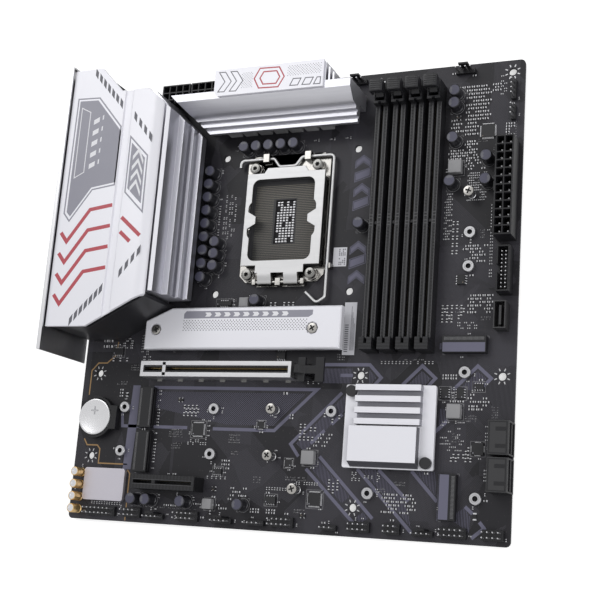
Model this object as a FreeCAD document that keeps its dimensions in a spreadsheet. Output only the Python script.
"""Micro-ATX computer motherboard with a lever-locked processor socket, as a parametric FreeCAD document.

Millimetres. Every piece is drawn in board coordinates: x runs from the rear (port) edge, y from the
lower edge, z from the component side of the board. Each sub-part's Placement then carries it into the
part frame, whose origin is the datum mounting hole's centre on the board's underside, +Z up.
"""
import FreeCAD, Part

import math
import os

import Sketcher
from FreeCAD import Rotation, Vector

SIZES = {
    # Board: micro-ATX outline and mounting holes.
    "board_w": 244.0, "board_d": 244.0, "board_t": 1.6, "board_corner": 2.5, "datum_x": 10.16,
    "datum_y": 237.65, "case_hole": 1.98, "column_mid": 154.94, "column_front": 227.33,
    "row_lower": 157.48, "rear_hole_y": 34.45, "front_hole_y": 14.13,
    # Processor socket, its frame and cooler holes.
    "socket_x": 116.9, "socket_y": 163.2, "cooler_pitch": 78.0, "cooler_hole": 2.0, "socket_w": 40.6,
    "socket_d": 50.0, "socket_rise": 4.0, "seat_w": 37.8, "seat_d": 45.3, "seat_floor": 1.6,
    "well_w": 11.8, "well_d": 24.4, "well_floor": 0.6, "contact_t": 0.25, "contact_edge": 1.2,
    "frame_t": 1.2, "frame_w": 49.0, "frame_low": 33.5, "frame_high": 38.0, "frame_gap": 0.3,
    "screw_span_x": 36.8, "screw_span_y": 59.8, "screw_head": 2.9, "screw_head_t": 2.6,
    "screw_shank": 1.5, "screw_clear": 0.1, "boss_wall": 1.9, "boss_rise": 2.0, "drive_r": 1.3,
    "drive_depth": 1.4, "backplate_t": 2.2, "backplate_margin": 4.6, "backplate_window_w": 22.0,
    "backplate_window_d": 30.0,
    # Load plate.
    "plate_z": 5.3, "plate_t": 1.3, "plate_w": 45.6, "plate_low": 29.6, "plate_high": 26.3,
    "plate_notch_w": 8.8, "plate_notch_d": 4.2, "plate_shift": 0.9, "window_w": 36.3, "window_d": 45.5,
    "wide_w": 39.4, "wide_d": 21.5, "window_round": 4.0, "tab_len": 4.6, "tab_base": 9.5,
    "tab_tip": 4.0, "flange_drop": 2.1, "flange_len": 46.0, "tongue_w": 26.0, "tongue_len": 2.9,
    "plate_axis_y": 129.2, "plate_axis_z": 3.6, "hinge_bar": 0.9, "hinge_clear": 0.05, "knuckle_r": 2.0,
    "hinge_half": 14.0, "hinge_lug": 2.0, "knuckle_gap": 3.6, "knuckle_w": 8.0, "stop_w": 3.0,
    "running_gap": 0.4,
    # Lever.
    "lever_axis_y": 198.8, "lever_z": 3.0, "wire_r": 1.0, "lever_left": 28.3, "lever_tail": 4.2,
    "arm_x": 143.8, "crank_w": 13.0, "crank_drop": 4.8, "crank_slope": 3.4, "hook_y": 117.6,
    "hook_x": 139.2, "tip_x": 132.6, "tip_y": 123.6, "wire_bend": 2.2, "bearing_w": 3.6,
    "bearing_x": 12.3, "bearing_wall": 1.3, "wire_clear": 0.06, "keeper_y": 137.2, "keeper_w": 2.8,
    "keeper_t": 1.0, "keeper_rise": 4.8,
    # Power-stage heatsinks, pads, chips and inductors.
    "sink_foot": 1.5, "sink_under": 10.6, "left_sink_x": 42.0, "left_sink_low": 118.0,
    "left_mitre": 279.5, "top_mitre": 284.5, "top_sink_end": 159.5, "top_sink_y": 212.0,
    "top_back_y": 231.0, "top_plate_x": 81.0, "top_plate_end": 144.7, "top_plate_y": 227.2,
    "top_plate_back": 242.4, "top_plate_t": 1.4, "top_z": 27.0, "end_fin_t": 1.1, "end_fin_pitch": 1.9,
    "pad_t": 0.5, "mosfet_t": 1.0, "mosfet_w": 5.0, "mosfet_d": 6.0, "choke_w": 7.2, "choke_rise": 7.6,
    "left_phases": 9, "left_pitch": 9.6, "left_phase_y": 128.0, "top_phases": 7, "top_pitch": 9.2,
    "top_phase_x": 83.0, "foot_w": 9.0, "sink_screw": 2.8, "sink_screw_t": 1.6,
    # Rear cover, its frame and the port shield.
    "cover_z": 41.0, "cover_t": 2.0, "cover_rear": -1.0, "cover_front": 57.0, "cover_low": 98.5,
    "cover_high": 245.0, "cover_groove_x": 33.5, "cover_groove_w": 5.0, "cover_groove_t": 1.0,
    "cover_edge_z": 37.5, "wall_t": 1.6, "shield_x": -3.4, "shield_t": 1.0, "shield_low": 86.0,
    "shield_high": 247.0, "shield_under": 2.0, "shield_top": 43.0, "shield_lip": 2.2, "port_clear": 0.3,
    "port_front": -4.2,
    # Memory slots.
    "dimm_x": 170.8, "dimm_pitch": 9.68, "dimm_w": 6.8, "dimm_low": 91.3, "dimm_high": 232.3,
    "dimm_rise": 8.2, "dimm_tower_rise": 12.5, "dimm_tower_d": 6.2, "dimm_groove_w": 1.5,
    "dimm_groove_depth": 5.4, "dimm_key_y": 157.4, "dimm_key_w": 1.6, "dimm_cheek": 0.9,
    "dimm_fork_d": 10.6, "latch_gap": 0.35, "latch_axis_y": 229.0, "latch_axis_z": 4.5,
    "latch_pin": 1.0, "latch_top": 20.0, "latch_pad": 3.0,
    # Expansion slots.
    "x16_x": 43.4, "x16_len": 87.6, "x16_y": 81.1, "slot_w": 7.4, "slot_rise": 11.0, "armour_t": 0.5,
    "armour_mouth": 3.7, "slot_groove_w": 1.8, "slot_groove_depth": 8.6, "slot_key_x": 13.0,
    "slot_key_w": 1.9, "slot_end": 1.8, "x4_x": 43.4, "x4_len": 38.2, "x4_drop": 60.0,
    "clip_axis_x": 137.6, "clip_axis_z": 4.2, "clip_w": 4.2, "clip_pin": 1.0, "clip_end": 149.4,
    "clip_pad_w": 12.6, "clip_pad_t": 1.8, "clip_pad_z": 9.6, "clip_cheek": 1.3,
    # Module (M.2) sockets, nuts, posts and cover.
    "m2_len": 22.0, "m2_deep": 8.4, "m2_rise": 4.2, "m2_slot_t": 1.4, "m2_slot_z": 2.2,
    "m2_slot_deep": 5.0, "nut_r": 3.0, "nut_hole": 1.2, "nut_rise": 2.4, "post_r": 2.1,
    "post_rise": 6.6, "post_head": 2.7, "post_head_t": 1.3, "m2_screw_shank": 1.1,
    "m2_screw_clear": 0.05, "post_floor": 1.5, "shank_low": 2.5, "m2_cover_x": 41.6,
    "m2_cover_end": 156.0, "m2_cover_y": 92.3, "m2_cover_back": 114.9, "m2_cover_z": 9.0,
    "m2_cover_t": 2.5, "m2_skirt": 2.0, "m2_skirt_t": 1.6, "m2_chamfer_x": 15.8, "m2_chamfer_y": 6.9,
    "m2_screw_x": 48.4, "m2_screw_end": 140.3, "m2_screw_y": 103.1, "m2_sink_r": 3.4,
    "m2_sink_depth": 1.4,
    # Chipset cooler.
    "hub_x": 160.0, "hub_y": 33.3, "hub_w": 46.7, "hub_d": 41.3, "hub_z": 3.0, "hub_t": 2.2,
    "hub_round": 1.0, "hub_plate_x": 4.4, "hub_plate_y": 2.9, "hub_plate_w": 34.9, "hub_plate_d": 17.4,
    "hub_plate_rise": 5.4, "rib_count": 4, "rib_w": 3.0, "rib_gap": 0.9, "rib_pitch": 5.6,
    "rib_rise": 4.4, "chip_w": 25.0, "chip_t": 2.4, "pin_inset": 3.4, "pin_head": 2.9,
    "pin_head_t": 2.4, "pin_shank": 1.35, "pin_barb": 2.0, "pin_barb_t": 1.6, "pin_clear": 0.2,
    # Battery and audio.
    "battery_x": 12.5, "battery_y": 55.3, "battery_r": 10.0, "battery_t": 3.2, "battery_clear": 0.25,
    "holder_wall": 1.3, "holder_floor": 1.6, "holder_rise": 4.2, "holder_tab": 13.0, "audio_x": 8.8,
    "audio_y": 10.4, "audio_w": 25.5, "audio_d": 17.4, "audio_rise": 2.4, "audio_round": 1.5,
    "audio_cap_x": 5.9, "audio_cap_y": 5.3, "audio_cap_pitch": 6.57, "audio_cap_r": 2.4,
    "audio_cap_rise": 8.0,
    # Capacitors, inductors, chips, power connectors, headers and side ports.
    "cap_r": 3.1, "cap_rise": 8.0, "cap_column_x": 71.6, "cap_column_y": 132.4,
    "cap_column_pitch": 7.56, "cap_second_x": 78.4, "cap_second_y": 138.7, "cap_second_pitch": 6.7,
    "cap_row_x": 91.2, "cap_row_y": 205.7, "cap_row_pitch": 7.4, "cube_w": 7.0, "cube_rise": 4.2,
    "small_cube_w": 5.4, "cell_pitch": 4.2, "cell_w": 3.5, "cell_wall": 0.4, "power_rise": 13.0,
    "cell_floor": 2.6, "atx_inset": 10.8, "atx_y": 147.6, "eps_x": 39.4, "eps_inset": 9.2,
    "eps_gap": 0.8, "clip_ledge": 1.0, "blade_w": 0.9, "blade_top": 9.4, "sata_inset": 9.6,
    "sata_overhang": 0.6, "sata_y": 24.2, "sata_w": 16.2, "sata_pitch": 17.3, "sata_rise": 12.5,
    "sata_wall": 0.9, "sata_mouth": 4.6, "sata_deep": 7.5, "sata_tongue_w": 10.2, "usb3_inset": 9.3,
    "usb3_y": 120.3, "usb3_w": 6.4, "usb3_wall": 0.8, "usb3_floor": 2.0, "usb3_d": 23.2,
    "box_rise": 9.0, "usbc_inset": 9.8, "usbc_y": 102.1, "usbc_w": 5.9, "usbc_wall": 0.6,
    "usbc_d": 13.7, "header_pitch": 2.54, "header_base": 2.5, "header_pin": 0.64, "header_pin_top": 8.5,
    "header_y": 2.4,
}


class Length:
    """A number together with the spreadsheet expression that gives it."""

    def __init__(self, value, text):
        self.value = float(value)
        self.text = text

    def __add__(self, other):
        other = length(other)
        return Length(self.value + other.value, f"({self.text} + {other.text})")

    def __radd__(self, other):
        return length(other) + self

    def __sub__(self, other):
        other = length(other)
        return Length(self.value - other.value, f"({self.text} - {other.text})")

    def __rsub__(self, other):
        return length(other) - self

    def __mul__(self, other):
        other = length(other)
        return Length(self.value * other.value, f"({self.text} * {other.text})")

    def __rmul__(self, other):
        return length(other) * self

    def __truediv__(self, other):
        other = length(other)
        return Length(self.value / other.value, f"({self.text} / {other.text})")

    def __neg__(self):
        return Length(-self.value, f"(0 - {self.text})")


def length(value):
    """Any number as a Length."""
    return value if isinstance(value, Length) else Length(value, f"({value})")


class Sheet:
    """Reads the driving sizes: s.board_w is the size with that alias."""

    def __getattr__(self, name):
        return Length(float(sheet.get(name)), f"Sizes.{name}")


doc = FreeCAD.newDocument("Motherboard")
sheet = doc.addObject("Spreadsheet::Sheet", "Sizes")
for row, (alias, number) in enumerate(SIZES.items(), start=1):
    sheet.set(f"A{row}", alias)
    sheet.set(f"B{row}", str(number))
    sheet.setAlias(f"B{row}", alias)
doc.recompute()
s = Sheet()
SUBPARTS = []


# ---------------------------------------------------------------- building blocks
def bind(item, name, value):
    """Ties one property of a document object to the sheet."""
    item.setExpression(name, length(value).text)


def move(item, x, y, z):
    """Ties an object's place to the sheet."""
    for axis, value in zip("xyz", (x, y, z)):
        bind(item, f"Placement.Base.{axis}", value)


def box(x, y, z, wide, deep, tall):
    """A block from its low corner and its three sizes."""
    item = doc.addObject("Part::Box", "Block")
    for name, value in (("Length", wide), ("Width", deep), ("Height", tall)):
        bind(item, name, value)
    move(item, x, y, z)
    return item


PIVOT_SIDES = 12
SMALL_SIDES = 8
CAN_SIDES = 12
WIRE_SIDES = 6
AXES = {"x": Rotation(Vector(0, 1, 0), 90), "y": Rotation(Vector(1, 0, 0), -90), "z": Rotation()}


def rod(x, y, z, radius, tall, axis="z"):
    """A cylinder from its base centre, along one axis."""
    item = doc.addObject("Part::Cylinder", "Rod")
    item.Placement = FreeCAD.Placement(Vector(0, 0, 0), AXES[axis])
    bind(item, "Radius", radius)
    bind(item, "Height", tall)
    move(item, x, y, z)
    return item


def peg(x, y, z, radius, tall, sides=SMALL_SIDES, axis="z"):
    """A small repeated round piece, drawn with a few flat sides."""
    item = doc.addObject("Part::Prism", "Peg")
    item.Placement = FreeCAD.Placement(Vector(0, 0, 0), AXES[axis])
    item.Polygon = sides
    bind(item, "Circumradius", radius)
    bind(item, "Height", tall)
    move(item, x, y, z)
    return item


PLANES = {"xy": ("XY_Plane", 1, False), "xz": ("XZ_Plane", -1, True), "yz": ("YZ_Plane", 1, False)}


def prism(outline, start, depth, plane="xy", circles=()):
    """A PartDesign body: a fully placed sketch outline, with round holes, padded by a depth."""
    role, sign, turned = PLANES[plane]
    body = doc.addObject("PartDesign::Body", "Profile")
    base = next(item for item in body.Origin.OriginFeatures if item.Role == role)
    sketch = body.newObject("Sketcher::SketchObject", "Outline")
    sketch.AttachmentSupport = [(base, "")]
    sketch.MapMode = "FlatFace"
    bind(sketch, "AttachmentOffset.Base.z", length(start) * sign)
    points = [(length(u), length(v)) for u, v in outline]
    corners = [Vector(u.value, v.value, 0) for u, v in points]
    for index, corner in enumerate(corners):
        sketch.addGeometry(Part.LineSegment(corner, corners[(index + 1) % len(corners)]), False)
    for index, point in enumerate(points):
        sketch.addConstraint(Sketcher.Constraint("Coincident", index, 2, (index + 1) % len(points), 1))
        pin_down(sketch, index, 1, point)
    for u, v, radius in circles:
        u, v, radius = length(u), length(v), length(radius)
        centre = Vector(u.value, v.value, 0)
        index = sketch.addGeometry(Part.Circle(centre, Vector(0, 0, 1), radius.value), False)
        pin_down(sketch, index, 3, (u, v))
        number = sketch.addConstraint(Sketcher.Constraint("Radius", index, radius.value))
        sketch.setExpression(f"Constraints[{number}]", radius.text)
    pad = body.newObject("PartDesign::Pad", "Pad")
    pad.Profile = sketch
    pad.Reversed = turned
    bind(pad, "Length", depth)
    return body


def pin_down(sketch, index, vertex, point):
    """Places one sketch point from the origin by two driven distances."""
    for kind, value in zip(("DistanceX", "DistanceY"), point):
        number = sketch.addConstraint(Sketcher.Constraint(kind, -1, 1, index, vertex, value.value))
        sketch.setExpression(f"Constraints[{number}]", value.text)


def group(items, kind="Part::Compound", name="Group"):
    """Several objects side by side in one."""
    item = doc.addObject(kind, name)
    setattr(item, "Links" if kind == "Part::Compound" else "Shapes", list(items))
    return item


def fuse(*items):
    """Several objects melted into one solid."""
    return group(items, "Part::MultiFuse", "Union")


def cut(base, *tools):
    """An object with others taken out of it."""
    item = doc.addObject("Part::Cut", "Cutout")
    item.Base = base
    item.Tool = tools[0] if len(tools) == 1 else fuse(*tools)
    return item


def soften(item, radius, chosen, kind="Part::Fillet"):
    """Rounds (or chamfers) the edges that a test picks, by their middle and direction."""
    doc.recompute()
    picked = []
    for index, edge in enumerate(item.Shape.Edges, start=1):
        first, last = edge.firstVertex().Point, edge.lastVertex().Point
        if chosen(edge.CenterOfMass, (last - first)):
            picked.append((index, length(radius).value, length(radius).value))
    result = doc.addObject(kind, "Softened")
    result.Base = item
    result.Edges = picked
    return result


def upright(middle, run):
    """True for an edge parallel to Z."""
    return run.Length > 1e-6 and abs(run.z) > 0.999 * run.Length


def subpart(label, item):
    """Names a finished piece and carries it from board coordinates into the part frame."""
    if item.TypeId in ("Part::Box", "Part::Cylinder", "Part::Sweep"):
        item = group([item])
    item.Label = label
    move(item, -s.datum_x, -s.datum_y, s.board_t)
    SUBPARTS.append(item)
    return item


# ---------------------------------------------------------------- board and socket
def case_holes():
    """Centres of the case mounting holes."""
    columns = (s.datum_x, s.datum_x + s.column_mid, s.datum_x + s.column_front)
    rows = (s.datum_y, s.datum_y - s.row_lower)
    holes = [(x, y) for x in columns for y in rows]
    return holes + [(columns[0], s.rear_hole_y), (columns[1], s.front_hole_y)]


def socket_screws():
    """Centres of the four screws that hold the socket frame."""
    half_x, half_y = s.screw_span_x / 2, s.screw_span_y / 2
    return [(s.socket_x + half_x * i, s.socket_y + half_y * j) for i in (-1, 1) for j in (-1, 1)]


def hub_pins():
    """Centres of the chipset cooler's two spring pins, in opposite corners."""
    low = (s.hub_x + s.hub_w - s.pin_inset, s.hub_y + s.pin_inset)
    high = (s.hub_x + s.pin_inset, s.hub_y + s.hub_d - s.pin_inset)
    return [low, high]


def make_board():
    outline = [(0, 0), (s.board_w, 0), (s.board_w, s.board_d), (0, s.board_d)]
    circles = [(x, y, s.case_hole) for x, y in case_holes()]
    for i in (-0.5, 0.5):
        for j in (-0.5, 0.5):
            centre = (s.socket_x + s.cooler_pitch * i, s.socket_y + s.cooler_pitch * j)
            circles.append((*centre, s.cooler_hole))
    board = soften(prism(outline, -s.board_t, s.board_t, circles=circles), s.board_corner, upright)
    passages = [peg(x, y, -s.board_t, s.screw_shank + s.screw_clear, s.board_t) for x, y in socket_screws()]
    passages += [peg(x, y, -s.board_t, s.pin_barb + s.pin_clear, s.board_t, 8) for x, y in hub_pins()]
    subpart("pcb", cut(board, *passages))


def centred(wide, deep, z, tall, x=None, y=None):
    """A block centred on a point of the board, by default the processor socket's centre."""
    x = s.socket_x if x is None else x
    y = s.socket_y if y is None else y
    return box(x - length(wide) / 2, y - length(deep) / 2, z, wide, deep, tall)


def make_socket():
    seat_depth = s.socket_rise - s.seat_floor
    body = centred(s.socket_w, s.socket_d, 0, s.socket_rise)
    seat = centred(s.seat_w, s.seat_d, s.seat_floor, seat_depth)
    well = centred(s.well_w, s.well_d, s.well_floor, s.socket_rise)
    grip = centred(s.socket_w + 2, 9.0, s.seat_floor + 0.8, seat_depth)
    subpart("socket_body", cut(body, seat, well, grip))
    edge = s.contact_edge * 2
    field = centred(s.seat_w - edge, s.seat_d - edge, s.seat_floor, s.contact_t)
    gap = centred(s.well_w + edge, s.well_d + edge, s.seat_floor, s.contact_t)
    subpart("socket_contacts", cut(field, gap))


def make_socket_frame():
    low, high = s.socket_y - s.frame_low, s.socket_y + s.frame_high
    left, right = s.socket_x - s.frame_w / 2, s.socket_x + s.frame_w / 2
    corner = s.boss_wall * 2
    outline = [
        (left + corner, low), (right - corner, low), (right, low + corner), (right, high - corner),
        (right - corner, high), (left + corner, high), (left, high - corner), (left, low + corner),
    ]
    ring = prism(outline, 0, s.frame_t)
    window = centred(s.socket_w + s.frame_gap * 2, s.socket_d + s.frame_gap * 2, 0, s.frame_t)
    bosses = [peg(x, y, 0, s.screw_shank + s.boss_wall, s.frame_t + s.boss_rise) for x, y in socket_screws()]
    holes = [peg(x, y, 0, s.screw_shank + s.screw_clear, s.frame_t + s.boss_rise) for x, y in socket_screws()]
    bar_x, bar_run = s.socket_x - s.hinge_half, s.hinge_half * 2
    hinge_bar = peg(bar_x, s.plate_axis_y, s.plate_axis_z, s.hinge_bar, bar_run, PIVOT_SIDES, "x")
    lug_d = s.knuckle_r * 1.5
    lug_top = s.plate_axis_z + s.hinge_bar + 0.5
    lugs = [
        box(s.socket_x + side * s.hinge_half - s.hinge_lug / 2, s.plate_axis_y - lug_d / 2, 0,
            s.hinge_lug, lug_d, lug_top)
        for side in (-1, 1)
    ]
    stop = box(s.socket_x - s.stop_w / 2, s.plate_axis_y - s.knuckle_r, 0, s.stop_w, s.knuckle_r * 2, lug_top)
    shelf_y, shelf_d = s.plate_axis_y - s.knuckle_r, s.knuckle_r * 2
    shelf = box(s.socket_x - s.hinge_half, shelf_y, 0, s.hinge_half * 2, shelf_d, s.frame_t)
    bearing_r = s.wire_r + s.wire_clear
    bearing_d = (bearing_r + s.bearing_wall) * 2
    bearing_top = s.lever_z + bearing_r + s.bearing_wall
    bearings = [
        box(s.socket_x + side * s.bearing_x - s.bearing_w / 2, s.lever_axis_y - bearing_d / 2, 0,
            s.bearing_w, bearing_d, bearing_top)
        for side in (-1, 1)
    ]
    bore_x, bore_run = s.socket_x - s.lever_left, s.lever_left * 2
    bore = peg(bore_x, s.lever_axis_y, s.lever_z, bearing_r, bore_run, PIVOT_SIDES, "x")
    arm_end = s.arm_x + s.wire_r + s.running_gap
    keeper_run = arm_end + s.keeper_t - right + 1.0
    keeper = box(right - 1.0, s.keeper_y - s.keeper_w / 2, 0, keeper_run, s.keeper_w, s.frame_t)
    keeper_wall = box(arm_end, s.keeper_y - s.keeper_w / 2, 0, s.keeper_t, s.keeper_w, s.keeper_rise)
    solid = fuse(ring, *bosses, *lugs, *bearings, shelf, stop, keeper, keeper_wall)
    frame = cut(solid, window, *holes, bore)
    subpart("ilm_frame", fuse(frame, hinge_bar))


def make_load_plate():
    middle = s.socket_x + s.plate_shift
    low, high = s.socket_y - s.plate_low, s.socket_y + s.plate_high
    left, right = middle - s.plate_w / 2, middle + s.plate_w / 2
    notch_x, notch_y = s.plate_notch_w, s.plate_notch_d
    tongue_left, tongue_right = middle - s.tongue_w / 2, middle + s.tongue_w / 2
    outline = [
        (left + notch_x, low), (right - notch_x, low), (right - notch_x, low + notch_y),
        (right, low + notch_y),
        (right, high), (tongue_right, high), (tongue_right - 2, high + s.tongue_len),
        (tongue_left + 2, high + s.tongue_len), (tongue_left, high), (left, high), (left, low + notch_y),
        (left + notch_x, low + notch_y),
    ]
    sheet_metal = prism(outline, s.plate_z, s.plate_t)
    tall = centred(s.window_w, s.window_d, s.plate_z, s.plate_t)
    wide = centred(s.wide_w, s.wide_d, s.plate_z, s.plate_t)
    window = fuse(soften(tall, s.window_round, upright), soften(wide, s.window_round, upright))
    tabs = []
    for side in (-1, 1):
        edge = s.socket_x + side * s.wide_w / 2
        tip = edge - side * s.tab_len
        tabs.append(prism(
            [(edge, s.socket_y - s.tab_base / 2), (tip, s.socket_y - s.tab_tip / 2),
             (tip, s.socket_y + s.tab_tip / 2), (edge, s.socket_y + s.tab_base / 2)],
            s.plate_z, s.plate_t))
    flanges = [
        centred(s.plate_t, s.flange_len, s.plate_z - s.flange_drop, s.flange_drop,
                x=middle + side * (s.plate_w - s.plate_t) / 2)
        for side in (-1, 1)
    ]
    axis_y, axis_z, top = s.plate_axis_y, s.plate_axis_z, s.plate_z + s.plate_t
    strap = [
        (axis_y, axis_z), (axis_y + 2.4, axis_z), (low, s.plate_z - 0.4), (low + 1, s.plate_z),
        (low + 1, top), (low - 0.6, top), (axis_y + 1.2, axis_z + s.knuckle_r),
        (axis_y, axis_z + s.knuckle_r),
    ]
    knuckles = []
    for side in (-1, 1):
        start = s.socket_x + side * (s.knuckle_gap + s.knuckle_w / 2) - s.knuckle_w / 2
        knuckles.append(peg(start, axis_y, axis_z, s.knuckle_r, s.knuckle_w, PIVOT_SIDES, "x"))
        knuckles.append(prism(strap, start, s.knuckle_w, "yz"))
    pivot_x, pivot_r = s.socket_x - s.hinge_half, s.hinge_bar + s.hinge_clear
    pivot = peg(pivot_x, axis_y, axis_z, pivot_r, s.hinge_half * 2, PIVOT_SIDES, "x")
    plate = fuse(cut(sheet_metal, window), *tabs, *flanges, *knuckles)
    subpart("load_plate", cut(plate, pivot))


def bent_wire(points, bend):
    """A wire path through points, each inner corner turned into a tangent arc."""
    edges, start = [], points[0]
    for before, corner, after in zip(points, points[1:], points[2:]):
        back, ahead = (before - corner).normalize(), (after - corner).normalize()
        half_turn = back.getAngle(ahead) / 2
        reach = bend / math.tan(half_turn)
        enter, leave = corner + back * reach, corner + ahead * reach
        inward = (back + ahead).normalize()
        middle = corner + inward * ((bend ** 2 + reach ** 2) ** 0.5 - bend)
        edges += [Part.LineSegment(start, enter), Part.Arc(enter, middle, leave)]
        start = leave
    edges.append(Part.LineSegment(start, points[-1]))
    return Part.Wire([edge.toShape() for edge in edges])


def make_lever():
    axis_y, z, half = s.lever_axis_y, s.lever_z, s.crank_w / 2
    crank_y = axis_y - s.crank_drop
    left = s.socket_x - s.lever_left
    places = [
        (left, axis_y - s.lever_tail), (left, axis_y), (s.socket_x - half - s.crank_slope / 2, axis_y),
        (s.socket_x - half + s.crank_slope / 2, crank_y), (s.socket_x + half - s.crank_slope / 2, crank_y),
        (s.socket_x + half + s.crank_slope / 2, axis_y), (s.arm_x, axis_y), (s.arm_x, s.hook_y + 3),
        (s.hook_x, s.hook_y), (s.tip_x, s.tip_y),
    ]
    path = bent_wire([Vector(x.value, y.value, z.value) for x, y in places], s.wire_bend.value)
    turns = [2 * math.pi * n / WIRE_SIDES for n in range(WIRE_SIDES + 1)]
    first = path.Edges[0].Vertexes[0].Point
    rim = [first + Vector(math.cos(turn), 0, math.sin(turn)) * s.wire_r.value for turn in turns]
    wire = doc.addObject("Part::Feature", "LeverWire")
    wire.Shape = path.makePipe(Part.Face(Part.makePolygon(rim)))
    subpart("socket_lever", wire)


def make_socket_fasteners():
    head_z = s.frame_t + s.boss_rise
    screws = []
    for x, y in socket_screws():
        reach = s.board_t + s.backplate_t
        shank = peg(x, y, -reach, s.screw_shank, reach + head_z)
        head = peg(x, y, head_z, s.screw_head, s.screw_head_t, 16)
        drive = peg(x, y, head_z + s.screw_head_t - s.drive_depth, s.drive_r, s.drive_depth, 6)
        screws.append(cut(fuse(shank, head), drive))
    subpart("ilm_screws", group(screws))
    under = -s.board_t - s.backplate_t
    wide = s.screw_span_x + s.backplate_margin * 2
    deep = s.screw_span_y + s.backplate_margin * 2
    plate = centred(wide, deep, under, s.backplate_t)
    window = centred(s.backplate_window_w, s.backplate_window_d, under, s.backplate_t)
    holes = [peg(x, y, under, s.screw_shank + s.screw_clear, s.backplate_t) for x, y in socket_screws()]
    subpart("backplate", soften(cut(plate, window, *holes), 3.0, outer_upright))


def outer_upright(middle, run):
    """True for an upright straight edge outside the socket's screws."""
    far = abs(middle.x - s.socket_x.value) > s.screw_span_x.value / 2 + s.backplate_margin.value - 0.1
    return upright(middle, run) and far


# ---------------------------------------------------------------- power stages
def make_left_heatsink():
    front, under = s.cover_front, s.sink_under
    foot = s.left_sink_x + s.foot_w
    outline = [
        (s.left_sink_x, s.sink_foot + s.pad_t), (foot, s.sink_foot + s.pad_t), (foot, under),
        (front + 12.5, under),
        (front + 12.5, under + 4.9), (front + 10.7, under + 4.9), (front + 10.7, under + 3.9),
        (front + 9.5, under + 3.9), (front + 9.5, under + 9.4), (front + 8.2, under + 9.4),
        (front + 8.2, under + 7.9), (front + 7, under + 7.9), (front + 7, s.top_z), (front + 3.5, s.top_z),
        (front + 2.8, s.top_z + 9), (front + 0.6, s.top_z + 9.8), (front + 0.6, s.top_z + 7.5),
        (front - 1.5, s.top_z + 6), (s.left_sink_x, s.top_z + 6),
    ]
    bar = prism(outline, s.left_sink_low, s.top_back_y + 1.5 - s.left_sink_low, "xz")
    beyond = [
        (s.left_sink_x - 2, s.left_mitre - s.left_sink_x + 2), (front + 14, s.left_mitre - front - 14),
        (front + 14, s.left_mitre - s.left_sink_x + 2),
    ]
    subpart("vrm_heatsink_left", cut(bar, prism(beyond, 0, s.cover_z)))


def make_top_heatsink():
    y, under, top = s.top_sink_y, s.sink_under, s.top_z
    foot_y = s.top_back_y - s.foot_w
    outline = [
        (y, under), (foot_y, under), (foot_y, s.sink_foot + s.pad_t), (s.top_back_y, s.sink_foot + s.pad_t),
        (s.top_back_y, top), (y + 14.6, top), (y + 8.9, under + 10.9), (y + 8, under + 6),
        (y + 6.4, under + 6),
        (y + 6.4, under + 3), (y + 5.2, under + 3), (y + 5.2, under + 4.4), (y + 3.2, under + 4.4),
        (y + 3.2, under + 1.2), (y + 2, under + 1.2), (y + 2, under + 2.4), (y, under + 2.4),
    ]
    start = s.top_mitre - s.top_back_y - 2
    bar = prism(outline, start, s.top_sink_end - start, "yz")
    beyond = [
        (start - 4, s.top_mitre - start + 4), (start - 4, y - 6), (s.top_mitre - y + 6, y - 6),
    ]
    mitred = cut(bar, prism(beyond, 0, s.cover_z))
    block_z = s.power_rise + 1
    block = box(s.top_plate_x, s.top_back_y - 1, block_z, s.top_plate_end - s.top_plate_x,
                s.top_plate_back - s.top_back_y + 0.6, top - block_z)
    fins = []
    for index in range(3):
        x = s.top_plate_end + s.end_fin_pitch * index - 0.2
        deep = s.top_plate_back - s.top_back_y - 1.2 - 2.4 * index
        fins.append(box(x, s.top_back_y - 1, block_z, s.end_fin_t, deep + 1, top - block_z - 1.2 * index))
        fin_rise = top - block_z - 6
        fins.append(box(x - 1, s.top_back_y - 1, block_z, s.end_fin_pitch + 1, deep * 0.6 + 1, fin_rise))
    subpart("vrm_heatsink_top", fuse(mitred, block, *fins))
    plate = [
        (s.top_plate_x + 2.5, s.top_plate_y), (s.top_plate_end, s.top_plate_y),
        (s.top_plate_end, s.top_plate_back),
        (s.top_plate_x, s.top_plate_back), (s.top_plate_x, s.top_plate_y + 2.5),
    ]
    subpart("vrm_top_plate", prism(plate, top, s.top_plate_t))


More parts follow.
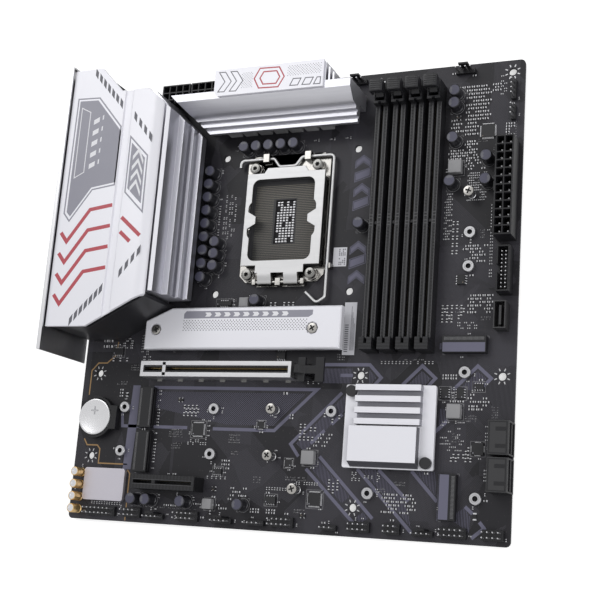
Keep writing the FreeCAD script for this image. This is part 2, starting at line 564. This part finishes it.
def make_power_stages():
    """Power chips and inductors under the two heatsinks, and the pads between chips and heatsinks."""
    chips, chokes = [], []
    chip_x = s.left_sink_x + 2
    for index in range(int(s.left_phases.value)):
        y = s.left_phase_y + s.left_pitch * index
        chips.append(box(chip_x, y - s.mosfet_w / 2, 0, s.mosfet_d, s.mosfet_w, s.mosfet_t))
        chokes.append(box(chip_x + s.mosfet_d + 4, y - s.choke_w / 2, 0, s.choke_w, s.choke_w, s.choke_rise))
    chip_y = s.top_back_y - s.foot_w + 1.5
    for index in range(int(s.top_phases.value)):
        x = s.top_phase_x + s.top_pitch * index
        chips.append(box(x - s.mosfet_w / 2, chip_y, 0, s.mosfet_w, s.mosfet_d, s.mosfet_t))
        choke_y = chip_y - s.choke_w - 2
        chokes.append(box(x - s.choke_w / 2, choke_y, 0, s.choke_w, s.choke_w, s.choke_rise))
    subpart("vrm_power_chips", group(chips))
    subpart("vrm_inductors", group(chokes))
    pad_rise = s.sink_foot + s.pad_t - s.mosfet_t
    left_run = s.left_pitch * (s.left_phases - 1) + s.mosfet_w
    left = box(chip_x, s.left_phase_y - s.mosfet_w / 2, s.mosfet_t, s.mosfet_d, left_run, pad_rise)
    top_run = s.top_pitch * (s.top_phases - 1) + s.mosfet_w
    top = box(s.top_phase_x - s.mosfet_w / 2, chip_y, s.mosfet_t, top_run, s.mosfet_d, pad_rise)
    hub_x, hub_y = s.hub_x + s.hub_w / 2, s.hub_y + s.hub_d / 2
    hub = centred(s.chip_w, s.chip_w, s.chip_t, s.hub_z - s.chip_t, x=hub_x, y=hub_y)
    subpart("thermal_pads", group([left, top, hub]))
    under = -s.board_t - s.sink_screw_t
    places = [(chip_x + 3, s.left_phase_y - 6.5), (chip_x + 3, s.left_phase_y + s.left_pitch * 7.5 + 12),
              (s.top_phase_x - 10, chip_y + 3), (s.top_phase_x + s.top_pitch * 7.6, chip_y + 3)]
    subpart("heatsink_screws", group([peg(x, y, under, s.sink_screw, s.sink_screw_t) for x, y in places]))


# ---------------------------------------------------------------- rear cover, shield and ports
def make_rear_cover():
    rear, front, top, edge = s.cover_rear, s.cover_front, s.cover_z, s.cover_edge_z
    groove, groove_end = s.cover_groove_x, s.cover_groove_x + s.cover_groove_w
    floor, wall = top - s.cover_groove_t, s.cover_t
    section = [
        (rear, top - wall), (front - 7, top - wall), (front - 3, top - wall - 0.8),
        (front - 1.6, edge - 1.4),
        (front, edge), (front - 0.6, edge + 1.4), (front - 2.4, top - 0.9), (front - 5, top),
        (groove_end, top), (groove_end, floor), (groove, floor), (groove, top), (rear, top),
    ]
    shell = prism(section, s.cover_low, s.cover_high - s.cover_low, "xz")
    low_side = [(24, s.cover_low - 2), (front + 3, s.cover_low - 2), (front + 3, 117.5), (24, s.cover_low)]
    high_side = [
        (17, s.cover_high), (31, 230.5), (48, 230.5), (s.left_mitre - 221.5, 221.5), (front + 3, 218),
        (front + 3, s.cover_high + 2), (17, s.cover_high + 2),
    ]
    cover = cut(shell, prism(low_side, 0, top + 2), prism(high_side, 0, top + 2))
    subpart("io_cover", cover)
    wall_line = [
        (rear + 1, s.cover_low + 0.6), (23.6, s.cover_low + 0.6), (front - 2, 115.4), (front - 2, 117.4),
        (23.2, s.cover_low + 2.4), (rear + 1, s.cover_low + 2.4),
    ]
    end_wall = prism(wall_line, 0, edge - 2.2)
    rail = box(rear + 1, s.cover_low + 0.6, top - wall - 3, 23, 1.8, 3)
    top_wall = box(rear + 1, s.datum_y + 3.2, 0, 17, s.wall_t, top - wall)
    link = box(rear + 1, s.cover_low + 1, top - wall - 2.4, s.wall_t, s.datum_y - s.cover_low + 3, 2.4)
    subpart("io_cover_frame", fuse(end_wall, rail, top_wall, link))


def ports():
    """Rear port blocks: name, lower y, width, and the mouths as (y, z, wide, tall, tongue) in the block."""
    return {
        "port_usb_upper": (204.0, 15.2, 30.0, [(1.0, 2.6 + 9.0 * i, 13.2, 5.8, True) for i in range(3)]),
        "port_display": (182.0, 17.4, 26.0, [(1.2, 3.0, 15.0, 5.4, True), (1.2, 15.6, 15.0, 5.6, True)]),
        "port_usb_lower": (162.0, 15.2, 30.0, [(1.0, 2.6 + 9.0 * i, 13.2, 5.8, True) for i in range(3)]),
        "port_lan": (141.0, 16.6, 30.0, [(1.7, 2.6, 13.2, 5.8, True), (1.7, 16.4, 11.8, 9.4, False)]),
    }


def make_ports():
    front, mouths = s.port_front, []
    for label, (low, wide, tall, openings) in ports().items():
        shell = box(front, low, 0, 21.0, wide, tall)
        hollows, tongues = [], []
        for dy, dz, span, high, tongue in openings:
            hollows.append(box(front, low + dy, dz, 13.0, span, high))
            if tongue:
                tongues.append(box(front + 1.5, low + dy + 1.2, dz + high / 2 - 0.9, 11.5, span - 2.4, 1.8))
        subpart(label, fuse(cut(shell, *hollows), *tongues) if tongues else cut(shell, *hollows))
        mouths.append((low, wide, 0, tall))
    low, tall, pitch = 104.0, 36.0, 12.4
    block = box(front + 2.6, low, 0, 18.0, 13.4, tall)
    rings = [peg(front, low + 6.7, 5.6 + pitch * i, 4.3, 3.0, 16, "x") for i in range(3)]
    bores = [peg(front, low + 6.7, 5.6 + pitch * i, 1.8, 14.0, 12, "x") for i in range(3)]
    subpart("port_audio", cut(fuse(block, *rings), *bores))
    jack_r = 4.3 + s.port_clear
    jack_holes = [peg(s.shield_x - 1, low + 6.7, 5.6 + pitch * i, jack_r, 4.0, 16, "x") for i in range(3)]
    return mouths, jack_holes


def make_shield(mouths, jack_holes):
    rear, low, under = s.shield_x, s.shield_low, -s.shield_under
    plate = box(rear, low, under, s.shield_t, s.shield_high - low, s.shield_top - under)
    lips = [
        box(rear, low, s.shield_top - s.shield_t, s.shield_lip, s.shield_high - low, s.shield_t),
        box(rear, s.shield_high - s.shield_t, 0, s.shield_lip, s.shield_t, s.shield_top),
    ]
    gap = s.port_clear
    windows = [
        box(rear - 1, y - gap, z - gap, s.shield_t + 3, wide + gap * 2, tall + gap * 2)
        for y, wide, z, tall in mouths
    ]
    subpart("io_shield", cut(fuse(plate, *lips), *windows, *jack_holes))


# ---------------------------------------------------------------- memory slots
def make_memory_slot(index):
    x = s.dimm_x + s.dimm_pitch * index
    left = x - s.dimm_w / 2
    rail = box(left, s.dimm_low, 0, s.dimm_w, s.dimm_high - s.dimm_low, s.dimm_rise)
    tower = box(left, s.dimm_low, 0, s.dimm_w, s.dimm_tower_d, s.dimm_tower_rise)
    fork_y = s.dimm_high - s.dimm_fork_d
    fork = box(left, fork_y, 0, s.dimm_w, s.dimm_fork_d, s.dimm_tower_rise)
    groove_z = s.dimm_rise - s.dimm_groove_depth
    groove_y = s.dimm_low + s.dimm_tower_d / 2
    groove_run = fork_y - groove_y + 1
    groove = cut(
        box(x - s.dimm_groove_w / 2, groove_y, groove_z, s.dimm_groove_w, groove_run, s.dimm_tower_rise),
        box(left, s.dimm_key_y, 0, s.dimm_w, s.dimm_key_w, s.dimm_rise - 1),
    )
    inside = s.dimm_w - s.dimm_cheek * 2
    throat = box(x - inside / 2, fork_y + 1.6, 1.2, inside, s.dimm_fork_d, s.dimm_tower_rise)
    pivot_r = s.latch_pin + s.hinge_clear
    pivot = peg(left, s.latch_axis_y, s.latch_axis_z, pivot_r, s.dimm_w, PIVOT_SIDES, "x")
    subpart(f"dimm_slot_{index + 1}", cut(fuse(rail, tower, fork), groove, throat, pivot))


def make_memory_latch(index):
    x = s.dimm_x + s.dimm_pitch * index
    half = s.dimm_w / 2 - s.dimm_cheek - s.latch_gap
    y, z, top = s.latch_axis_y, s.latch_axis_z, s.latch_top
    outline = [
        (y - 1.6, z - 2), (y + 1.6, z - 2), (y + 2, z), (y + 1.6, top - 6), (y + 3.4, top - s.latch_pad),
        (y + 3.4, top), (y - 3.4, top), (y - 2.6, top - s.latch_pad - 1.6), (y - 2, top - 6.4),
        (y - 4, top - 7.4), (y - 4, top - 9), (y - 2, top - 9.4), (y - 2, z),
    ]
    paddle = prism(outline, x - half, half * 2, "yz")
    pin_half = s.dimm_w / 2 - 0.1
    pin = peg(x - pin_half, y, z, s.latch_pin, pin_half * 2, PIVOT_SIDES, "x")
    subpart(f"dimm_latch_{index + 1}", fuse(paddle, pin))


# ---------------------------------------------------------------- expansion slots
def card_slot(x, y, run):
    """A card-edge slot: a bar with a long groove and one key rib across it."""
    bar = box(x, y - s.slot_w / 2, 0, run, s.slot_w, s.slot_rise)
    floor = s.slot_rise - s.slot_groove_depth
    low, inside = y - s.slot_groove_w / 2, run - s.slot_end * 2
    groove = cut(
        box(x + s.slot_end, low, floor, inside, s.slot_groove_w, s.slot_groove_depth),
        box(x + s.slot_key_x, y - s.slot_w / 2, 0, s.slot_key_w, s.slot_w, s.slot_rise),
    )
    return cut(bar, groove)


def make_card_slots():
    x, y, run, wall = s.x16_x, s.x16_y, s.x16_len, s.armour_t
    cheek_d = (s.slot_w - s.clip_w) / 2 - s.latch_gap
    cheek_x = x + run + wall
    cheek_run = s.clip_axis_x + 2.4 - x - run
    cheeks = [
        box(x + run, y - s.slot_w / 2, 0, cheek_run, cheek_d, 7.0),
        box(x + run, y + s.slot_w / 2 - cheek_d, 0, cheek_run, cheek_d, 7.0),
    ]
    bridge = box(x + run, y - s.slot_w / 2, 0, s.clip_axis_x - x - run - 3.2, s.slot_w, 7.0)
    pivot_r = s.clip_pin + s.hinge_clear
    pivot = peg(s.clip_axis_x, y - s.slot_w / 2, s.clip_axis_z, pivot_r, s.slot_w, PIVOT_SIDES, "y")
    subpart("pcie_x16_slot", cut(fuse(card_slot(x, y, run), *cheeks, bridge), pivot))
    wide = s.slot_w + wall * 2
    outer = box(x - wall, y - wide / 2, 0, run + wall * 2, wide, s.slot_rise + wall)
    core = box(x, y - s.slot_w / 2, 0, run, s.slot_w, s.slot_rise)
    mouth_run = run - s.slot_end * 2 + 1.2
    mouth_y, mouth_rise = y - s.armour_mouth / 2, s.slot_rise + wall
    mouth = box(x + s.slot_end - 0.6, mouth_y, 0, mouth_run, s.armour_mouth, mouth_rise)
    gate = box(x + run, y - s.slot_w / 2, 0, wall, s.slot_w, 7.0)
    subpart("pcie_x16_armour", cut(outer, core, mouth, gate))
    subpart("pcie_x4_slot", card_slot(s.x4_x, s.x16_y - s.x4_drop, s.x4_len))


def make_card_latch():
    x, z, end = s.clip_axis_x, s.clip_axis_z, s.clip_end
    outline = [
        (x - 1.8, z - 1.8), (x + 1.8, z - 1.8), (x + 3.0, s.clip_pad_z), (end, s.clip_pad_z),
        (end, s.clip_pad_z + s.clip_pad_t), (x + 1.6, s.clip_pad_z + s.clip_pad_t),
        (x - 1.0, s.slot_rise + 3.0),
        (x - 3.4, s.slot_rise + 3.0), (x - 3.4, s.slot_rise + 1.2), (x - 2.0, s.slot_rise + 0.4),
    ]
    arm = prism(outline, s.x16_y - s.clip_w / 2, s.clip_w, "xz")
    pin_half = s.slot_w / 2 - 0.1
    pin = peg(x, s.x16_y - pin_half, z, s.clip_pin, pin_half * 2, PIVOT_SIDES, "y")
    pad = box(end - 4.6, s.x16_y - s.clip_pad_w / 2, s.clip_pad_z, 4.6, s.clip_pad_w, s.clip_pad_t)
    cross = box(x - 2.4, s.x16_y - s.clip_pad_w / 2, s.clip_pad_z, 4.0, s.clip_pad_w, s.clip_pad_t)
    subpart("pcie_latch", fuse(arm, pin, pad, cross))


# ---------------------------------------------------------------- module sockets and their cover
def module_socket(x, y, faces):
    """An M.2 socket with its mouth towards +X, -X or +Y; x and y are its low corner."""
    along_x = faces in ("+x", "-x")
    wide, deep = (s.m2_deep, s.m2_len) if along_x else (s.m2_len, s.m2_deep)
    block = box(x, y, 0, wide, deep, s.m2_rise)
    if faces == "+x":
        inner = x + s.m2_deep - s.m2_slot_deep
        mouth = box(inner, y + 1, s.m2_slot_z, s.m2_slot_deep, s.m2_len - 2, s.m2_slot_t)
    elif faces == "-x":
        mouth = box(x, y + 1, s.m2_slot_z, s.m2_slot_deep, s.m2_len - 2, s.m2_slot_t)
    else:
        inner = y + s.m2_deep - s.m2_slot_deep
        mouth = box(x + 1, inner, s.m2_slot_z, s.m2_len - 2, s.m2_slot_deep, s.m2_slot_t)
    return cut(block, mouth)


def make_modules():
    sockets = [
        module_socket(39.6, 50.4, "+x"), module_socket(39.6, 26.6, "+x"),
        module_socket(s.m2_cover_x + 14.6, (s.m2_cover_y + s.m2_cover_back - s.m2_len) / 2, "+x"),
        module_socket(208.0, 91.2, "+y"), module_socket(209.6, 10.4, "-x"),
    ]
    subpart("m2_sockets", group(sockets))
    nuts = [(29.6, 61.4), (29.6, 37.6), (84.4, 61.4), (84.4, 37.6), (151.2, 61.4), (173.0, 21.4),
            (227.0, 21.4),
            (219.4, 81.8), (219.0, 152.8), (219.0, 135.2)]
    rings = [cut(peg(x, y, 0, s.nut_r, s.nut_rise), peg(x, y, 0, s.nut_hole, s.nut_rise, 8)) for x, y in nuts]
    subpart("m2_nuts", group(rings))
    posts, screws = [], []
    for x, y in ((120.0, 61.4), (120.0, 37.6), (135.0, 21.4), (219.0, 172.6)):
        bore = peg(x, y, s.post_floor, s.m2_screw_shank + s.m2_screw_clear, s.post_rise, 6)
        posts.append(cut(peg(x, y, 0, s.post_r, s.post_rise, 6), bore))
        shank = peg(x, y, s.shank_low, s.m2_screw_shank, s.post_rise - s.shank_low, 6)
        screws.append(fuse(shank, peg(x, y, s.post_rise, s.post_head, s.post_head_t)))
    subpart("m2_posts", group(posts))
    subpart("m2_post_screws", group(screws))


def make_module_cover():
    x, y, end, back = s.m2_cover_x, s.m2_cover_y, s.m2_cover_end, s.m2_cover_back
    under = s.m2_cover_z - s.m2_cover_t
    outline = [(x, y), (end, y), (end, back), (x + s.m2_chamfer_x, back), (x, back - s.m2_chamfer_y)]
    slab = prism(outline, under - s.m2_skirt, s.m2_cover_t + s.m2_skirt)
    edge = s.m2_skirt_t
    inner = [
        (x + edge, y + edge), (end - edge, y + edge), (end - edge, back - edge),
        (x + s.m2_chamfer_x, back - edge),
        (x + edge, back - s.m2_chamfer_y - edge / 2),
    ]
    hollow = prism(inner, under - s.m2_skirt, s.m2_skirt)
    places = [(s.m2_screw_x, s.m2_screw_y), (s.m2_screw_end, s.m2_screw_y)]
    sinks = [peg(u, v, s.m2_cover_z - s.m2_sink_depth, s.m2_sink_r, s.m2_sink_depth) for u, v in places]
    holes = [peg(u, v, under, s.m2_screw_shank + s.screw_clear, s.m2_cover_t, 6) for u, v in places]
    bevelled = soften(slab, 0.8, top_edge, "Part::Chamfer")
    subpart("m2_cover", cut(bevelled, hollow, *sinks, *holes))
    posts, screws = [], []
    for u, v in places:
        bore = peg(u, v, s.post_floor, s.m2_screw_shank + s.m2_screw_clear, under, 6)
        posts.append(cut(peg(u, v, 0, s.nut_r, under), bore))
        shank = peg(u, v, s.shank_low, s.m2_screw_shank, s.m2_cover_z - s.m2_sink_depth - s.shank_low, 6)
        screws.append(fuse(shank, peg(u, v, s.m2_cover_z - s.m2_sink_depth, s.post_head, s.post_head_t)))
    subpart("m2_cover_posts", group(posts))
    subpart("m2_cover_screws", group(screws))


def top_edge(middle, run):
    """True for the module cover's upper outline."""
    return abs(middle.z - s.m2_cover_z.value) < 0.01


# ---------------------------------------------------------------- chipset, battery and audio
def make_chipset():
    x, y = s.hub_x, s.hub_y
    middle_x, middle_y = x + s.hub_w / 2, y + s.hub_d / 2
    subpart("chipset_chip", group([centred(s.chip_w, s.chip_w, 0, s.chip_t, x=middle_x, y=middle_y)]))
    base = soften(box(x, y, s.hub_z, s.hub_w, s.hub_d, s.hub_t), s.hub_round, upright)
    top = s.hub_z + s.hub_t
    plate = box(x + s.hub_plate_x, y + s.hub_plate_y, top, s.hub_plate_w, s.hub_plate_d, s.hub_plate_rise)
    first = y + s.hub_plate_y + s.hub_plate_d + s.rib_gap
    ribs = [
        box(x + s.hub_plate_x + 2, first + s.rib_pitch * n, top, s.hub_plate_w - 1, s.rib_w, s.rib_rise)
        for n in range(int(s.rib_count.value))
    ]
    holes = [peg(u, v, s.hub_z, s.pin_shank + s.pin_clear, s.hub_t) for u, v in hub_pins()]
    subpart("chipset_heatsink", cut(fuse(base, plate, *ribs), *holes))
    pins = []
    for u, v in hub_pins():
        under = -s.board_t - s.pin_barb_t
        shank = peg(u, v, under, s.pin_shank, top - under)
        barb = peg(u, v, under, s.pin_barb, s.pin_barb_t)
        pins.append(fuse(shank, barb, peg(u, v, top, s.pin_head, s.pin_head_t, 16)))
    subpart("chipset_pins", group(pins))


def make_battery():
    x, y, reach = s.battery_x, s.battery_y, s.battery_r + s.battery_clear
    ring = rod(x, y, 0, reach + s.holder_wall, s.holder_rise)
    tab = box(x + 2, y - s.holder_tab / 2, 0, reach + s.holder_wall, s.holder_tab, s.holder_rise)
    seat = rod(x, y, s.holder_floor, reach, s.holder_rise)
    gate = box(x - reach - 3, y - 20, s.holder_floor, reach + 1, 40, s.holder_rise)
    subpart("battery_holder", cut(fuse(ring, tab), seat, gate))
    subpart("battery", group([rod(x, y, s.holder_floor, s.battery_r, s.battery_t)]))


def make_audio():
    can = box(s.audio_x, s.audio_y, 0, s.audio_w, s.audio_d, s.audio_rise)
    subpart("audio_shield", soften(can, s.audio_round, upright))
    caps = [
        peg(s.audio_cap_x, s.audio_cap_y + s.audio_cap_pitch * n, 0, s.audio_cap_r, s.audio_cap_rise,
            CAN_SIDES)
        for n in range(4)
    ]
    subpart("audio_caps", group(caps))


# ---------------------------------------------------------------- small components
def make_capacitors():
    places = [(s.cap_column_x, s.cap_column_y + s.cap_column_pitch * n) for n in range(9)]
    places += [(s.cap_second_x, s.cap_second_y + s.cap_second_pitch * n) for n in range(3)]
    places += [(s.cap_row_x + s.cap_row_pitch * n, s.cap_row_y) for n in range(5)]
    places += [(105.4, 119.2), (161.1, 158.9), (209.4, 227.4), (209.4, 220.6), (209.4, 201.8), (227.1, 190.9),
               (227.1, 178.6), (208.9, 178.6), (42.4, 12.2), (51.3, 12.2), (72.2, 12.2), (105.4, 12.2)]
    subpart("polymer_caps", group([peg(x, y, 0, s.cap_r, s.cap_rise, CAN_SIDES) for x, y in places]))


def make_inductors():
    large = [(210.2, 187.4), (140.7, 37.6), (215.1, 62.5)]
    small = [(86.1, 11.8), (97.5, 118.6)]
    cubes = [centred(s.cube_w, s.cube_w, 0, s.cube_rise, x=length(x), y=length(y)) for x, y in large]
    side = s.small_cube_w
    cubes += [centred(side, side, 0, s.cube_rise, x=length(x), y=length(y)) for x, y in small]
    subpart("inductors", group(cubes))


def make_chips():
    """Flat chip packages: centre, sides and height."""
    chips = [
        (75.6, 50.4, 8.0, 8.0, 1.2), (144.8, 17.2, 8.0, 8.0, 1.2), (120.8, 15.6, 6.0, 5.0, 1.6),
        (89.2, 28.8, 5.0, 4.0, 1.4), (112.0, 53.6, 4.0, 4.0, 1.0), (129.2, 34.6, 4.0, 4.0, 1.0),
        (209.6, 71.6, 5.0, 5.4, 1.2), (217.4, 71.6, 5.0, 5.4, 1.2), (226.4, 75.0, 5.0, 4.0, 1.2),
        (21.0, 92.4, 6.4, 5.2, 1.4), (84.4, 118.8, 9.0, 4.0, 1.2), (227.0, 45.0, 6.0, 6.0, 1.2),
    ]
    packages = [centred(w, d, 0, tall, x=length(x), y=length(y)) for x, y, w, d, tall in chips]
    subpart("chips", group(packages))


def power_header(x, y, across, along):
    """A power connector shell with one square cell for each contact, and its contact blades."""
    pitch, wall = s.cell_pitch, s.cell_wall
    wide, deep = pitch * across + wall * 2, pitch * along + wall * 2
    shell = box(x, y, 0, wide, deep, s.power_rise)
    cells, blades = [], []
    for i in range(across):
        for j in range(along):
            u, v = x + wall + pitch * (i + 0.5), y + wall + pitch * (j + 0.5)
            cells.append(centred(s.cell_w, s.cell_w, s.cell_floor, s.power_rise, x=u, y=v))
            blades.append(centred(s.blade_w, s.blade_w, s.cell_floor, s.blade_top - s.cell_floor, x=u, y=v))
    return shell, cells, blades, wide, deep


def make_power_connectors():
    ledge_z = s.power_rise - 4.2
    atx_x, eps_y = s.board_w - s.atx_inset, s.board_d - s.eps_inset
    shell, cells, blades, wide, deep = power_header(atx_x, s.atx_y, 2, 12)
    ledge = box(atx_x - s.clip_ledge, s.atx_y + deep / 2 - 2.4, ledge_z, s.clip_ledge, 4.8, 2.0)
    atx = doc.addObject("Part::Cut", "PowerShell")
    atx.Base = fuse(shell, ledge)
    atx.Tool = group(cells)
    subpart("atx_connector", atx)
    shells = []
    for side in range(2):
        x = s.eps_x + (s.cell_pitch * 4 + s.cell_wall * 2 + s.eps_gap) * side
        shell, cells, more, wide, deep = power_header(x, eps_y, 4, 2)
        ledge = box(x + wide / 2 - 2.4, eps_y - s.clip_ledge, ledge_z, 4.8, s.clip_ledge, 2.0)
        eps = doc.addObject("Part::Cut", "PowerShell")
        eps.Base = fuse(shell, ledge)
        eps.Tool = group(cells)
        shells.append(eps)
        blades += more
    subpart("eps_connectors", group(shells))
    subpart("power_contacts", group(blades))


def make_side_ports():
    stacks = []
    face, wall = s.board_w + s.sata_overhang, s.sata_wall
    level_pitch = (s.sata_rise - wall) / 2
    for index in range(2):
        y = s.sata_y + s.sata_pitch * index
        run = s.sata_inset + s.sata_overhang
        block = box(s.board_w - s.sata_inset, y, 0, run, s.sata_w, s.sata_rise)
        mouths, tongues = [], []
        for level in range(2):
            z = wall + level_pitch * level
            wide = s.sata_w - wall * 2
            mouths.append(box(face - s.sata_deep, y + wall, z, s.sata_deep, wide, s.sata_mouth))
            tongue_x, tongue_run = face - s.sata_deep - 0.5, s.sata_deep - 0.7
            tongues.append(box(tongue_x, y + 2.4, z + 1.4, tongue_run, s.sata_tongue_w, 1.2))
        stacks.append(fuse(cut(block, *mouths), *tongues))
    subpart("sata_ports", group(stacks))
    x, y, wall = s.board_w - s.usb3_inset, s.usb3_y, s.usb3_wall
    wide, deep = s.usb3_w - wall * 2, s.usb3_d - wall * 2
    shroud = box(x, y, 0, s.usb3_w, s.usb3_d, s.box_rise)
    inside = box(x + wall, y + wall, s.usb3_floor, wide, deep, s.box_rise)
    key = box(x - 1, y + s.usb3_d / 2 - 2, s.usb3_floor + 2, wall + 2, 4, s.box_rise)
    subpart("usb3_header", cut(shroud, inside, key))
    x, y, wall = s.board_w - s.usbc_inset, s.usbc_y, s.usbc_wall
    wide, deep = s.usbc_w - wall * 2, s.usbc_d - wall * 2
    shell = box(x, y, 0, s.usbc_w, s.usbc_d, s.box_rise)
    hollow = box(x + wall, y + wall, 1.5, wide, deep, s.box_rise)
    blade = box(x + s.usbc_w / 2 - wall, y + 2, 0, wall * 2, s.usbc_d - 4, s.box_rise - 1.5)
    subpart("usbc_header", fuse(cut(shell, hollow), blade))


def make_headers():
    """Pin headers: x, y, columns and rows of pins, and whether a back wall stands behind them."""
    y = s.header_y.value
    headers = [
        (12.6, y, 7, 2, False), (36.0, y, 4, 2, False), (50.0, y, 4, 1, True), (68.0, y, 5, 2, False),
        (90.0, y, 4, 1, True), (108.5, y, 4, 1, False), (122.0, y, 5, 2, False), (150.2, y, 3, 1, False),
        (165.0, y, 4, 2, False), (183.0, y, 3, 2, False), (197.0, y, 4, 1, True), (210.6, y, 5, 2, False),
        (231.0, y, 4, 2, False), (148.9, 238.2, 4, 1, True), (208.3, 238.4, 4, 1, True),
        (237.6, 222.0, 1, 4, False), (237.6, 211.0, 1, 3, False),
    ]
    pitch, bases, pins = s.header_pitch, [], []
    for x, low, columns, rows, wall in headers:
        block = box(x, low, 0, pitch * columns, pitch * rows, s.header_base)
        if wall:
            back = box(x + pitch, low + pitch, 0, pitch * (columns - 2), 1.0, s.header_pin_top)
            block = fuse(block, back)
        bases.append(block)
        for i in range(columns):
            for j in range(rows):
                u, v = x + pitch * (i + 0.5), low + pitch * (j + 0.5)
                pin_rise = s.header_pin_top - s.header_base
                pins.append(centred(s.header_pin, s.header_pin, s.header_base, pin_rise, x=u, y=v))
    for i in range(2):
        for j in range(10):
            u = s.board_w - s.usb3_inset + s.usb3_w / 2 + (i - 0.5) * 2
            v = s.usb3_y + s.usb3_d / 2 + (j - 4.5) * 2
            pins.append(centred(s.header_pin, s.header_pin, s.usb3_floor, 5.0, x=u, y=v))
    subpart("header_bases", group(bases))
    subpart("header_pins", group(pins))


def check_document():
    """Stops when any object failed or any sub-part is empty or unsound."""
    doc.recompute()
    broken = [item.Label for item in doc.Objects if {"Invalid", "Error"} & set(item.State)]
    unsound = [item.Label for item in SUBPARTS if item.Shape.isNull() or not item.Shape.isValid()]
    if broken or unsound:
        raise RuntimeError(f"failed objects {broken}, unsound sub-parts {unsound}")


def main():
    make_board()
    make_socket()
    make_socket_frame()
    make_load_plate()
    make_lever()
    make_socket_fasteners()
    make_left_heatsink()
    make_top_heatsink()
    make_power_stages()
    make_rear_cover()
    make_shield(*make_ports())
    for index in range(4):
        make_memory_slot(index)
        make_memory_latch(index)
    make_card_slots()
    make_card_latch()
    make_modules()
    make_module_cover()
    make_chipset()
    make_battery()
    make_audio()
    make_capacitors()
    make_inductors()
    make_chips()
    make_power_connectors()
    make_side_ports()
    make_headers()
    check_document()
    os.makedirs("parts", exist_ok=True)
    for item in SUBPARTS:
        item.Shape.exportStep(os.path.join("parts", f"{item.Label}.step"))
    print(len(SUBPARTS), "sub-parts written")


main()
